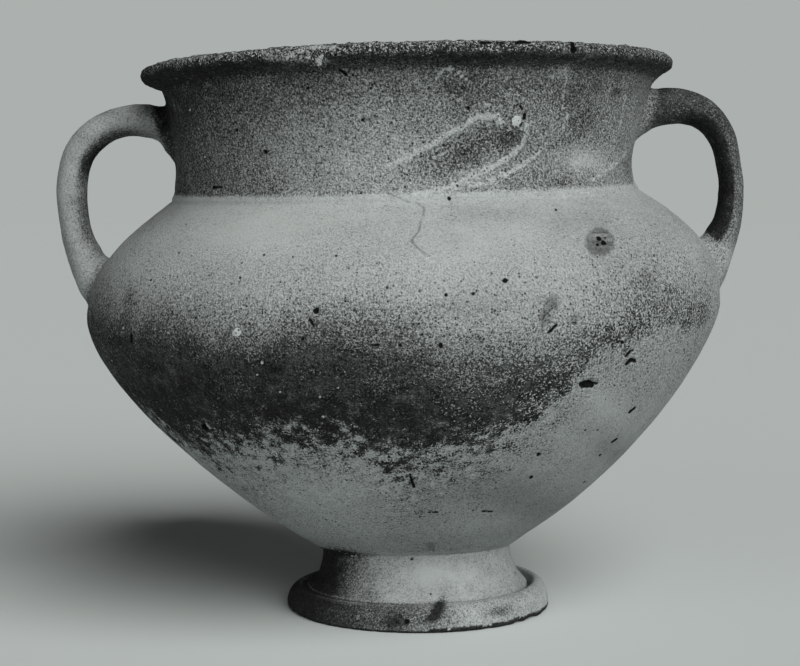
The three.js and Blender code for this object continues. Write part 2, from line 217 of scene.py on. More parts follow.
# The edge of a coat of slip, on the shoulder below the join.
SLIP_EDGE = [
    (385, 185), (387, 193), (393, 196), (400, 198), (407, 202), (417, 203), (424, 208), (423, 215), (420, 223),
    (419, 230), (414, 237), (411, 241), (415, 246), (421, 251), (430, 256),
]
SLIP_EDGE_REACH = 6

# The dark band round the belly: its edges as pixels in front, and as (degrees round, height) behind.
BAND_TOP_SEEN = [
    (120, 298), (160, 312), (200, 323), (240, 324), (280, 320), (320, 317), (360, 319), (400, 326), (440, 338),
    (480, 345), (520, 340), (560, 330), (600, 313), (640, 292), (680, 276), (700, 273),
]
BAND_FOOT_SEEN = [
    (168, 425), (196, 452), (216, 468), (236, 458), (280, 449), (320, 446), (360, 448), (400, 474), (440, 456), (480, 446),
    (520, 432), (560, 400), (600, 354), (640, 342), (680, 338), (704, 330),
]
BAND_TOP_BEHIND = [(110, 214), (150, 206), (190, 204), (230, 210), (262, 214)]
BAND_FOOT_BEHIND = [(110, 176), (150, 160), (190, 150), (230, 124), (262, 92)]
BAND_TOP_FADE = 42
BAND_FOOT_FADE = 30
FLECK_SHAPE = (1, 1, 1.6)  # the flecks at its foot are wider than tall
# How dark it is, as (degrees round, share).
BAND_STRENGTH = [
    (-98, 0.92), (-60, 0.9), (-20, 0.9), (-10, 0.84), (0, 0.76), (8, 0.68), (20, 0.66), (40, 0.66), (56, 0.58), (68, 0.3),
    (82, 0.16), (100, 0.05), (130, 0.35), (180, 0.6), (220, 0.8), (262, 0.92),
]
# How dark the neck, the stem and the ring of the foot are, as (degrees round, share). On the left of the stem and the
# ring, shares above 1 add painted shade to the stain, where the pot's own shadow falls.
NECK_STAIN = [
    (-98, 0.94), (-66, 0.84), (-50, 0.7), (-38, 0.6), (-25, 0.46), (-8, 0.36), (8, 0.4), (22, 0.5), (40, 0.54),
    (60, 0.54), (80, 0.46), (120, 0.5), (180, 0.56), (225, 0.7), (262, 0.92),
]
STEM_STAIN_AND_SHADE = [
    (-98, 1.4), (-66, 1.15), (-48, 0.8), (-30, 0.44), (-15, 0.18), (0, 0.05), (90, 0.08), (140, 0.14), (190, 0.3),
    (225, 0.6), (262, 1.0),
]
RING_STAIN_AND_SHADE = [
    (-98, 1.5), (-60, 1.35), (-40, 1.0), (-20, 0.8), (-5, 0.64), (10, 0.48), (20, 0.3), (34, 0.2), (60, 0.14),
    (100, 0.1), (150, 0.25), (190, 0.5), (225, 0.8), (262, 1.0),
]

# How fine the surface is cut round small marks, and how far marks reach.
REFINE_MARGIN = 1.2
REFINE_CUTS = 2
FINEST_EDGE = 1.2
SPOT_LIMIT = 6.0
PATCH_DEPTH = 60
FLAKE = [(262, 55), (324, 56)]
FLAKE_DROP = 5.5
SLIP_THICKNESS = 0.5

# Colours, as shares of light given back.
PALE_CLAY = 0.41
GREY_CLAY = 0.17
# The dark coat: the stain, and also the painted shade under the lip, on the handles' inner faces and at the foot.
STAIN_AND_SHADE_TONE = 0.021
WORN_STAIN_AND_SHADE_TONE = 0.072
LIME = 0.6
HOLE = 0.002
PAPER = 0.615
BUMP_DEPTH = 0.6

# Lamps, as (direction towards it, strength, spread in degrees), the soft fill, and the tone behind the table.
LAMPS = {"key": ((0.429, -0.686, 0.588), 3.6, 52), "low": ((-0.57, -0.81, 0.139), 0.5, 60)}
FILL = 0.022
BACKDROP = 0.43
TABLE = 30


def bezier(a, b, c, d, count=60):
    a, b, c, d = (np.array(p, float) for p in (a, b, c, d))
    t = np.linspace(0, 1, count)[:, None]
    return (1 - t) ** 3 * a + 3 * (1 - t) ** 2 * t * b + 3 * (1 - t) * t**2 * c + t**3 * d


def smooth_through(points, per_span=12):
    """A smooth curve through the points."""
    p = np.array(points, float)
    ends = np.vstack([p[:1], p, p[-1:]])
    t = np.linspace(0, 1, per_span, endpoint=False)[:, None]
    spans = []
    for a, b, c, d in zip(ends[:-3], ends[1:-2], ends[2:-1], ends[3:]):
        spans.append(0.5 * (2 * b + (c - a) * t + (2 * a - 5 * b + 4 * c - d) * t**2
                            + (3 * b - a - 3 * c + d) * t**3))
    return np.vstack([*spans, p[-1:]])


def even(points, step):
    """The same line with its points about one step apart."""
    p = np.array(points, float)
    along = np.concatenate([[0], np.cumsum(np.linalg.norm(np.diff(p, axis=0), axis=1))])
    places = np.linspace(0, along[-1], max(2, round(along[-1] / step) + 1))
    return np.column_stack([np.interp(places, along, p[:, i]) for i in range(p.shape[1])])


def reach(start, degrees, distance):
    angle = math.radians(degrees)
    return start[0] + distance * math.cos(angle), start[1] + distance * math.sin(angle)


def body_line():
    belly_low = (BELLY[0], BELLY[1] - BELLY_PULL_DOWN)
    belly_high = (BELLY[0], BELLY[1] + BELLY_PULL_UP)
    lower = bezier(BODY_START, reach(BODY_START, BODY_START_ANGLE, BODY_START_PULL), belly_low, BELLY)
    upper = bezier(BELLY, belly_high, reach(SHOULDER_TOP, -SHOULDER_TOP_ANGLE, SHOULDER_TOP_PULL), SHOULDER_TOP)
    return np.vstack([lower, upper[1:]])


def lip_line():
    turn = np.radians(np.linspace(LIP_TURN_START, 90, 24))
    x = LIP_MIDDLE[0] + LIP_ROUNDING * np.cos(turn)
    return np.column_stack([x, LIP_MIDDLE[1] + LIP_ROUNDING * np.sin(turn)])


def inside_line():
    """Down the inside, a wall's thickness in from body and neck."""
    outside = even(np.vstack([body_line(), smooth_through(NECK)]), INSIDE_STEP)
    ahead = np.gradient(outside, axis=0)
    ahead /= np.linalg.norm(ahead, axis=1)[:, None]
    wall = outside + WALL * np.column_stack([-ahead[:, 1], ahead[:, 0]])
    wall = wall[(wall[:, 1] < WALL_TOP_HEIGHT) & (wall[:, 1] > FLOOR_HEIGHT)]
    return np.vstack([wall[::-1], even(FLOOR, INSIDE_STEP)])


def joined(*lines):
    """Lines end to end, without the doubled points where they meet."""
    rows = np.vstack(lines)
    keep = np.concatenate([[True], np.linalg.norm(np.diff(rows, axis=0), axis=1) > 0.05])
    return rows[keep]


def pot_rows():
    """Rows of the outline with the groove open, the same with it closed, and which rows are fine."""
    under = even(HOLLOW, INSIDE_STEP)[:-1]
    ring = even(bezier(*RING_FACE), FOOT_STEP)
    contact = np.vstack([even([HOLLOW[-1], FOOT_EDGE[0]], 4), FOOT_EDGE[1:]])
    above = joined(
        even(body_line(), BODY_STEP), even(JOIN_RIDGE, RIDGE_STEP), even(smooth_through(NECK), NECK_STEP),
        even(lip_line(), LIP_STEP), even([lip_line()[-1], LIP_INNER[0]], 2),
        even(smooth_through(LIP_INNER), 3))
    inside = inside_line()
    grooves = []
    for groove in (GROOVE_OPEN, GROOVE_CLOSED):
        curve = smooth_through(groove)
        places = np.linspace(0, 1, 10)
        curve = np.column_stack([np.interp(places, np.linspace(0, 1, len(curve)), curve[:, i]) for i in (0, 1)])
        stem = even(smooth_through([groove[-1], *STEM[1:]]), FOOT_STEP)
        stem_places = np.linspace(0, 1, 20)
        stem = np.column_stack([np.interp(stem_places, np.linspace(0, 1, len(stem)), stem[:, i]) for i in (0, 1)])
        grooves.append(np.vstack([curve[1:], stem[1:]]))
    rows = [np.vstack([under, contact, ring[1:], groove, above, inside]) for groove in grooves]
    fine_count = len(contact) + len(ring) - 1 + len(grooves[0]) + len(above)
    fine = np.zeros(len(rows[0]), bool)
    fine[len(under):len(under) + fine_count] = True
    return rows[0], rows[1], fine


def column_angles():
    """Degrees round from the front, closer together in front than behind."""
    front = round(2 * FRONT_HALF_DEGREES / FRONT_STEP_DEGREES)
    back = round((360 - 2 * FRONT_HALF_DEGREES) / BACK_STEP_DEGREES)
    back += (front + back) % 2
    ahead = np.linspace(-FRONT_HALF_DEGREES, FRONT_HALF_DEGREES, front, endpoint=False)
    behind = np.linspace(FRONT_HALF_DEGREES, 360 - FRONT_HALF_DEGREES, back, endpoint=False)
    return np.radians(np.concatenate([ahead, behind]))


def bell(x):
    return np.exp(-x * x)


def smoothstep(x, low, high):
    t = np.clip((x - low) / (high - low), 0, 1)
    return t * t * (3 - 2 * t)


def groove_opening(angle):
    """1 where the groove above the foot's ring gapes, at the right, and 0 where it is closed."""
    off = np.degrees((angle - math.radians(95) + math.pi) % (2 * math.pi) - math.pi)
    return 1 - smoothstep(np.abs(off), 30, 75)


def dip(z):
    """How much lower the pot's front is than its back at a height, for each millimetre between them."""
    join = JOIN_DIP * bell((z - SHOULDER_TOP[1]) / JOIN_DIP_SPREAD) / SHOULDER_TOP[0]
    stem = STEM_RISE * bell((z - STEM[-1][1]) / STEM_RISE_SPREAD) / STEM[-1][0]
    return join - stem


def settled(p):
    """Moves points as the soft clay moved and leans them about the middle of the foot."""
    x, y, z = p.T
    lean = math.radians(LEAN_DEGREES)
    x = x - SAG * bell((z - SAG_HEIGHT) / SAG_SPREAD) + RIM_DRIFT * smoothstep(z, 284, 327)
    x = x - NECK_DRIFT * bell((z - NECK_DRIFT_HEIGHT) / NECK_DRIFT_SPREAD)
    h = z + y * dip(z)
    share = np.clip(z / LEVEL_SHARE_HEIGHT, 0, 1)
    leant_x = x * math.cos(lean) - h * math.sin(lean)
    leant_z = x * math.sin(lean) * share + h * math.cos(lean)
    return np.column_stack([leant_x + FOOT_X, y, np.maximum(leant_z, 0)])


def mesh_object(name, points, faces):
    mesh = bpy.data.meshes.new(name)
    mesh.from_pydata([tuple(p) for p in points], [], faces)
    mesh.validate()
    mesh.update()
    made = bpy.data.objects.new(name, mesh)
    bpy.context.scene.collection.objects.link(made)
    return made


def build_pot():
    """The closed wall of the pot, fine outside and coarser inside."""
    open_rows, closed_rows, fine = pot_rows()
    angles = column_angles()
    share = groove_opening(angles)[:, None]
    points, rings = [], []
    for row, (r_open, r_closed) in enumerate(zip(open_rows, closed_rows)):
        step = 1 if fine[row] else 2
        place = r_closed + (r_open - r_closed) * share[::step]
        turn = angles[::step]
        if place[0, 0] < 1e-6:
            place, turn = place[:1], turn[:1]
        rings.append(list(range(len(points), len(points) + len(turn))))
        points.extend(zip(place[:, 0] * np.sin(turn), -place[:, 0] * np.cos(turn), place[:, 1]))
    faces = []
    for low, high in zip(rings, rings[1:]):
        faces.extend(stitched(low, high))
    return mesh_object("pot", settled(np.array(points)), faces)


def stitched(low, high):
    """Faces between two rings of points, which may differ in count by one to two or end in one point."""
    a, b = len(low), len(high)
    if a == 1:
        return [(low[0], high[(i + 1) % b], high[i]) for i in range(b)]
    if b == 1:
        return [(low[i], low[(i + 1) % a], high[0]) for i in range(a)]
    if a == b:
        return [(low[i], low[(i + 1) % a], high[(i + 1) % a], high[i]) for i in range(a)]
    faces = []
    if a > b:
        for i in range(b):
            f0, f1, f2 = low[2 * i], low[2 * i + 1], low[(2 * i + 2) % a]
            c0, c1 = high[i], high[(i + 1) % b]
            faces += [(f0, f1, c0), (f1, c1, c0), (f1, f2, c1)]
        return faces
    for i in range(a):
        f0, f1, f2 = high[2 * i], high[2 * i + 1], high[(2 * i + 2) % b]
        c0, c1 = low[i], low[(i + 1) % a]
        faces += [(c0, f1, f0), (c0, c1, f1), (c1, f2, f1)]
    return faces


def build_bar(name, side, line, thicknesses, widths):
    """A bent bar of oval section, whose roots end inside the wall."""
    middle = even(smooth_through(line, 24), BAR_STEP)
    share = np.linspace(0, 1, len(middle))
    steps = np.linspace(0, 1, len(thicknesses))
    sizes = smooth_through(np.column_stack([steps, thicknesses, widths]), 24)
    thickness = np.interp(share, sizes[:, 0], sizes[:, 1])
    width = np.interp(share, sizes[:, 0], sizes[:, 2])
    ahead = np.gradient(middle, axis=0)
    ahead /= np.linalg.norm(ahead, axis=1)[:, None]
    across = np.column_stack([-ahead[:, 1], ahead[:, 0]])
    turn = np.linspace(0, 2 * math.pi, BAR_SIDES, endpoint=False)
    body = np.vstack([body_line(), smooth_through(NECK)])
    points = []
    for i in range(len(middle)):
        off = 0.5 * thickness[i] * np.sin(turn)
        r = middle[i, 0] + across[i, 0] * off
        z = middle[i, 1] + across[i, 1] * off
        y = 0.5 * width[i] * np.cos(turn)
        out = np.hypot(r, y)
        least = np.interp(z, body[:, 1], body[:, 0]) - HANDLE_ROOT_DEPTH
        grow = np.maximum(1, least / out)
        points.append(np.column_stack([side * r * grow, y * grow, z]))
    points = np.vstack(points)
    count = len(middle)
    faces = []
    for i in range(count - 1):
        for j in range(BAR_SIDES):
            k = (j + 1) % BAR_SIDES
            a, b = i * BAR_SIDES, (i + 1) * BAR_SIDES
            faces.append((a + j, a + k, b + k, b + j))
    faces.append(tuple(range(BAR_SIDES))[::-1])
    faces.append(tuple(range((count - 1) * BAR_SIDES, count * BAR_SIDES)))
    if side < 0:
        faces = [face[::-1] for face in faces]
    return mesh_object(name, settled(points), faces)


def vertex_array(mesh, what="co"):
    values = np.zeros(len(mesh.vertices) * 3)
    mesh.vertices.foreach_get(what, values)
    return values.reshape(-1, 3)


def joined_solid(base, *others):
    """One closed solid from overlapping ones."""
    for other in others:
        union = base.modifiers.new("union", "BOOLEAN")
        union.operation = "UNION"
        union.solver = "MANIFOLD"
        union.object = other
    evaluated = base.evaluated_get(bpy.context.evaluated_depsgraph_get())
    mesh = bpy.data.meshes.new_from_object(evaluated)
    base.modifiers.clear()
    base.data = mesh
    return base


def build_shape():
    pot = build_pot()
    left = build_bar("left_bar", **LEFT_HANDLE)
    right = build_bar("right_bar", **RIGHT_HANDLE)
    trees = [BVHTree.FromObject(o, bpy.context.evaluated_depsgraph_get()) for o in (pot, left, right)]
    jar = joined_solid(pot, left, right)
    for spare in (left, right):
        bpy.data.objects.remove(spare)
    soften_seams(jar.data, trees)
    return jar


def soften_seams(mesh, trees):
    """Rounds the inner corners where the handles run into the pot, as smeared clay does."""
    clean = bmesh.new()
    clean.from_mesh(mesh)
    bmesh.ops.dissolve_degenerate(clean, dist=0.05, edges=clean.edges)
    bmesh.ops.triangulate(clean, faces=[f for f in clean.faces if len(f.verts) > 4])
    clean.to_mesh(mesh)
    clean.free()
    p = vertex_array(mesh)
    near = np.where(np.abs(p[:, 0]) > 120)[0]
    seam = []
    for i in near:
        here = Vector(p[i])
        gaps = [tree.find_nearest(here)[3] for tree in trees]
        if gaps[0] < 0.03 and min(gaps[1:]) < 0.03:
            seam.append(i)
    seam_points = p[seam]
    gap = np.full(len(p), 1e9)
    for i in near:
        gap[i] = np.sqrt(((seam_points - p[i]) ** 2).sum(1).min())
    weight = (1 - smoothstep(gap, 0.3 * FILLET_REACH, FILLET_REACH)) * outside_share(p)
    edges = np.zeros(len(mesh.edges) * 2, int)
    mesh.edges.foreach_get("vertices", edges)
    edges = edges.reshape(-1, 2)
    edges = edges[(weight[edges] > 0).any(1)]
    count = np.bincount(edges.ravel(), minlength=len(p))[:, None]
    for _ in range(FILLET_ROUNDS):
        total = np.zeros_like(p)
        np.add.at(total, edges[:, 0], p[edges[:, 1]])
        np.add.at(total, edges[:, 1], p[edges[:, 0]])
        mean = total / np.maximum(count, 1)
        p += 0.6 * weight[:, None] * (mean - p)
    mesh.vertices.foreach_set("co", p.ravel())
    mesh.update()


LENS = FOCAL_PIXELS * SENSOR_WIDTH / IMAGE_WIDTH
EYE = np.array([FOOT_X, 0, 0]) + np.array(CAMERA_FROM_FOOT)


class Seen:
    """Finds the places on a surface that pixels of the photograph show."""

    def __init__(self, made):
        self.tree = BVHTree.FromObject(made, bpy.context.evaluated_depsgraph_get())

    def place(self, across, down):
        """The point and its normal, or None where the pixel shows no surface."""
        right = (across - IMAGE_WIDTH / 2) / FOCAL_PIXELS
        up = (IMAGE_HEIGHT / 2 - down) / FOCAL_PIXELS
        drop = math.radians(CAMERA_DROP_DEGREES)
        ray = Vector((right, math.cos(drop) + up * math.sin(drop), up * math.cos(drop) - math.sin(drop)))
        point, normal, _, _ = self.tree.ray_cast(Vector(EYE), ray.normalized())
        return (np.array(point), np.array(normal)) if point else None

    def line(self, pixels):
        found = [self.place(*pixel) for pixel in pixels]
        return np.array([hit[0] for hit in found if hit])


def line_distance(p, line):
    """How far points are from a line of points."""
    if len(line) == 1:
        return np.linalg.norm(p - line[0], axis=1)
    best = np.full(len(p), np.inf)
    for a, b in zip(line, line[1:]):
        along = b - a
        t = np.clip((p - a) @ along / max(along @ along, 1e-9), 0, 1)
        best = np.minimum(best, np.linalg.norm(p - a - t[:, None] * along, axis=1))
    return best


def standing(p):
    """Undoes the lean and the dip: distance from the axis, degrees round from the front, and height."""
    lean = math.radians(LEAN_DEGREES)
    x = (p[:, 0] - FOOT_X) * math.cos(lean) + p[:, 2] * math.sin(lean)
    leant = p[:, 2] * math.cos(lean) - (p[:, 0] - FOOT_X) * math.sin(lean)
    height = leant
    for _ in range(3):
        height = leant - p[:, 1] * dip(height)
    round_degrees = np.degrees(np.arctan2(x, -p[:, 1]))
    return np.hypot(x, p[:, 1]), round_degrees, height


def folded(degrees):
    """The angle with the back folded onto the front, so that nothing jumps at the middle of the back."""
    return np.where(np.abs(degrees) > 90, np.sign(degrees) * 180 - degrees, degrees)


def by_angle(pairs, degrees):
    """Reads (degrees, value) pairs at any angle, all the way round."""
    pairs = sorted((angle % 360, value) for angle, value in pairs)
    angles, values = np.array(pairs).T
    return np.interp(degrees % 360, angles, values, period=360)


def rough(p, size, seed):
    """Smooth noise of about -1 to 1, with bumps about as large as size."""
    shift = Vector((seed * 17.3, seed * 5.1, seed * 9.7))
    return np.array([noise.noise(Vector(q) / size + shift) for q in p])


def refined(mesh, seen):
    """Cuts the faces near small marks finer, so that each mark has its own shape."""
    work = bmesh.new()
    work.from_mesh(mesh)
    centres = np.array([f.calc_center_median() for f in work.faces])
    near = np.zeros(len(centres), bool)
    marks = [([(u, v)], radius) for u, v, radius, _ in ROUND_PITS]
    marks += [(line, radius) for line, radius, _ in LONG_PITS]
    marks += [([(u, v)], radius) for u, v, radius in CRUST_SPOTS]
    marks.append((SLIP_EDGE, 0))
    for pixels, radius in marks:
        line = seen.line(pixels)
        if len(line):
            near |= line_distance(centres, line) < radius + REFINE_MARGIN
    work.faces.ensure_lookup_table()
    edges = {e for i in np.where(near)[0] for e in work.faces[i].edges}
    edges = [e for e in edges if e.calc_length() > FINEST_EDGE]
    edges.sort(key=lambda e: e.index)
    bmesh.ops.subdivide_edges(work, edges=edges, cuts=REFINE_CUTS, use_grid_fill=True)
    bmesh.ops.triangulate(work, faces=[f for f in work.faces if len(f.verts) > 4])
    work.to_mesh(mesh)
    work.free()


def outside_share(p):
    """1 on the outside and the lip, 0 on the inside of the wall and under the foot."""
    radius, _, height = standing(p)
    inside = inside_line()
    order = np.argsort(inside[:, 1])
    wall = np.interp(height, inside[order, 1], inside[order, 0])
    inner = (radius < wall + WALL * 0.5) & (height > FLOOR_HEIGHT - 6) & (height < LIP_INNER[-1][1])
    under = radius < np.interp(height, [0, 27, 32], [HOLLOW[-1][0] + 1, HOLLOW[1][0] + 1, 1])
    under &= height < HOLLOW[0][1] + 1
    return 1.0 - (inner | under)


def lip_share(p):
    radius, _, height = standing(p)
    middle = np.hypot(radius - LIP_MIDDLE[0], height - LIP_MIDDLE[1])
    near = 1 - smoothstep(middle, LIP_ROUNDING + 0.6, LIP_ROUNDING + 5)
    top = smoothstep(height, LIP_MIDDLE[1] + 1, LIP_MIDDLE[1] + 3)
    return np.maximum(near, top)


def bar_share(p):
    """1 on the handles and 0 on the pot."""
    radius, _, height = standing(p)
    body = np.vstack([body_line(), smooth_through(NECK)])
    out = radius - np.interp(height, body[:, 1], body[:, 0])
    return smoothstep(out, 3, 12) * (height > 120) * (height < 322)


def flake_drop(p, seen):
    """How far the lip's lower edge hangs, where a flake has come loose."""
    _, degrees, _ = standing(p)
    start = standing(seen.line([FLAKE[0]]))[1][0]
    end = standing(seen.line([FLAKE[1]]))[1][0]
    along = (degrees - start) / (end - start)
    return FLAKE_DROP * np.clip(along, 0, 1) ** 0.8 * (along < 1)


def roughened(mesh, seen):
    """Gives the surface the unevenness of worn clay, and the marks that have depth."""
    p = vertex_array(mesh)
    normal = vertex_array(mesh, "normal")
    radius, degrees, height = standing(p)
    outside = outside_share(p)
    lip = lip_share(p)
    bar = bar_share(p)
    move = 0.45 * rough(p, 55, 1) + 0.16 * rough(p, 17, 2)
    wheel = np.column_stack([np.radians(folded(degrees)) * 1.2, np.zeros(len(p)), height / 4.2])
    move += 0.13 * rough(wheel, 1, 3) * (1 - bar) * (1 - lip)
    grain = rough(p, 4.5, 4)
    move += (0.07 + 0.16 * bar) * grain
    neck = smoothstep(height, 268, 276) * (1 - bar)
    move += neck * (0.14 * grain + 0.12 * rough(p, 9, 5))
    move *= 0.35 + 0.65 * outside
    move += lip * (0.85 * rough(p, 4.2, 6) + 0.55 * rough(p, 2.1, 7) - 0.25)
    for u, v, size, depth in ROUND_PITS:
        dent(p, seen.line([(u, v)]), size, depth, move)
    for pixels, size, depth in LONG_PITS:
        dent(p, seen.line(pixels), size, depth, move)
    for pixels, size, strength in CRUST_STREAKS:
        dent(p, seen.line(pixels), size * 1.3, -0.45 * strength, move)
    for u, v, size in CRUST_SPOTS:
        dent(p, seen.line([(u, v)]), size * 1.2, -0.5, move)
    signed, reach_share = slip_side(p, normal, seen)
    move += SLIP_THICKNESS * (smoothstep(signed, -0.8, 0.8) - 0.5) * reach_share
    p += move[:, None] * normal
    hang = smoothstep(LIP_MIDDLE[1] + 1 - height, 0, 4) * smoothstep(radius, 154, 158) * (height > 318)
    p[:, 2] -= flake_drop(p, seen) * hang
    edge = (radius > FOOT_EDGE[0][0] - 0.6) * (1 - smoothstep(height, 1, 5))
    chips = np.clip(rough(p, 9, 8) - 0.12, 0, 1) * 3.2 + np.clip(rough(p, 3, 9) - 0.2, 0, 1) * 1.2
    p[:, 2] += edge * chips
    p[(height < 0.05) & (radius < FOOT_EDGE[0][0] - 0.6), 2] = 0
    p[:, 2] = np.maximum(p[:, 2], 0)
    mesh.vertices.foreach_set("co", p.ravel())
    mesh.update()


def dent(p, line, size, depth, move):
    """Presses a rounded hollow into the surface, or raises a bump where the depth is negative."""
    if len(line):
        share = line_distance(p, line) / size
        near = share < 1
        move[near] -= depth * (1 - share[near] ** 2)


def slip_side(p, normal, seen):
    """Signed distance from the slip's edge, positive on the slip, and where the edge can be seen."""
    line = seen.line(SLIP_EDGE)
    best = np.full(len(p), np.inf)
    signed = np.full(len(p), 99.0)
    for a, b in zip(line, line[1:]):
        along = b - a
        t = np.clip((p - a) @ along / (along @ along), 0, 1)
        off = p - a - t[:, None] * along
        gap = np.linalg.norm(off, axis=1)
        side = np.sign((np.cross(along, off) * normal).sum(1))
        closer = gap < best
        best[closer] = gap[closer]
        signed[closer] = (gap * side)[closer]
    ends = np.minimum(line_distance(p, line[:1]), line_distance(p, line[-1:]))
    share = (1 - smoothstep(best, SLIP_EDGE_REACH - 3, SLIP_EDGE_REACH)) * smoothstep(ends, 1, 5)
    return np.clip(signed, -SLIP_EDGE_REACH, SLIP_EDGE_REACH), share


def band_edge(seen, pixels, behind):
    radius, degrees, height = standing(seen.line(pixels))
    return list(zip(degrees, height)) + behind


def painted(mesh, seen):
    """Works out what covers the clay at each vertex, with the shade painted on it, for the material to read."""
    p = vertex_array(mesh)
    normal = vertex_array(mesh, "normal")
    radius, degrees, height = standing(p)
    outside = outside_share(p)
    lip = lip_share(p) * smoothstep(normal[:, 2], -0.55, -0.2)
    bar = bar_share(p)
    turned = folded(degrees)
    top = by_angle(band_edge(seen, BAND_TOP_SEEN, BAND_TOP_BEHIND), degrees)
    foot = by_angle(band_edge(seen, BAND_FOOT_SEEN, BAND_FOOT_BEHIND), degrees)
    top += 5 * rough(p, 26, 23)
    foot += 8 * rough(p, 16, 21) + 8 * rough(p, 6, 22)
    east = smoothstep(degrees, -4, 24) * (1 - smoothstep(degrees, 95, 130))
    foot_fade = BAND_FOOT_FADE * (1 - 0.5 * east)
    band = np.minimum(0.5 + (top - height) / BAND_TOP_FADE, 0.5 + (height - foot) / foot_fade)
    band = np.clip(band, 0, 1.12) * by_angle(BAND_STRENGTH, degrees) * (1 + 0.16 * rough(p, 18, 24) + 0.14 * rough(p, 7, 25))
    neck = smoothstep(height, 262, 265)
    # Above the band the neck is stained. Towards the lip it is darkened more, and most in a strip just under the lip:
    # painted shade where the lip shadows the neck, over the stain.
    up = smoothstep(height, 284, 322)
    neck_stain_and_shade = by_angle(NECK_STAIN, degrees) + 0.26 * up * (1 - 0.5 * smoothstep(turned, 8, 26)) - 0.1 + 0.4 * smoothstep(height, 324, 330)
    dark = np.where(height > 261, neck * neck_stain_and_shade, band)
    stem = (1 - smoothstep(height, 38, 41)) * smoothstep(height, 14, 16)
    ring = 1 - smoothstep(height, 14, 16)
    dark = np.maximum(dark, stem * by_angle(STEM_STAIN_AND_SHADE, degrees))
    dark = np.maximum(dark, ring * by_angle(RING_STAIN_AND_SHADE, degrees))
    right = p[:, 0] > 0
    # Handles: the right one is stained all over. On both, the faces turned towards the pot, and the underside of the
    # left one's top bend, are darkened further as painted shade.
    faces_axis = -normal[:, 0] * np.sign(p[:, 0])
    inner = smoothstep(faces_axis, -0.1, 0.5)
    left_bar_stain_and_shade = 0.02 + 0.55 * smoothstep(faces_axis, 0.3, 0.9) * smoothstep(height, 205, 240)
    left_bar_stain_and_shade += 0.6 * smoothstep(faces_axis - normal[:, 2], 0.3, 1.1) * smoothstep(height, 265, 290)
    bar_stain_and_shade = np.where(right, 0.6 + 0.9 * inner, left_bar_stain_and_shade)
    bar_stain_and_shade += np.where(right, 0.1 * smoothstep(height, 230, 260) + 0.2 * smoothstep(height, 280, 302), 0)
    root = 1 - smoothstep(height, 210, 232)
    bar_stain_and_shade *= 1 - 0.85 * root
    dark = dark * (1 - bar) + bar * bar_stain_and_shade
    near = np.clip(1.15 - (height - top) / 52, 0, 1) * smoothstep(height, 120, 160)
    grit = 0.16 + (0.6 * near * (1 - neck) + 0.58 * neck) * (1 - bar) + 0.12 * bar
    grit += 0.1 * smoothstep(turned, -10, 20) * (1 - neck) * (1 - bar)
    grit += 0.4 * (1 - smoothstep(height, 120, 160)) * (height > 40) * (1 - 0.6 * smoothstep(turned, 0, 30))
    ragged = 1 - smoothstep(np.abs(height - foot - 4), 10, 34)
    lower = (1 - smoothstep(height, 130, 165)) * (height > 40)
    pepper = 0.22 + 0.35 * east + 0.5 * ragged * (1 - 0.5 * east) + 0.5 * lower * (1 - 0.5 * east)
    mosaic = (1 - smoothstep(np.abs(height - foot + 6), 8, 34)) * (1 - smoothstep(turned, 25, 50)) * (1 - bar)
    mosaic *= 1 - smoothstep(np.abs(degrees), 85, 130)
    flecks = 0.55 * rough(p * FLECK_SHAPE, 8, 41) + 0.6 * rough(p * FLECK_SHAPE, 3.4, 44)
    dark += mosaic * (0.85 * flecks + 0.35 * rough(p, 5, 42) + 0.03)
    grit += 0.4 * mosaic
    pepper = np.where(height > 262, 0.2, np.where(height < 42, 0.12, pepper)) * (1 - bar) + 0.12 * bar
    grit = np.where(height < 40, 0.12 + 0.22 * np.clip(dark, 0, 1), grit)
    low = (1 - smoothstep(height, 95, 150)) * (height > 38)
    grey = 0.1 + 0.3 * low * (0.25 + 0.75 * smoothstep(turned, -40, 5)) + 0.2 * bar * smoothstep(height, 205, 235)
    grey += 0.12 * smoothstep(turned, -12, 12) * (1 - smoothstep(np.abs(degrees), 70, 110)) * (1 - low) * (1 - neck)
    crust = 0.06 + 0.05 * neck + 0.16 * lower * (1 - smoothstep(turned, -5, 25))
    crust += mosaic * (0.3 - 0.8 * flecks + 0.3 * rough(p, 5, 43))
    dark += lower * (0.09 + 0.14 * smoothstep(height, 90, 130)) * (1 - bar) * (1 - 0.8 * smoothstep(turned, 10, 30))
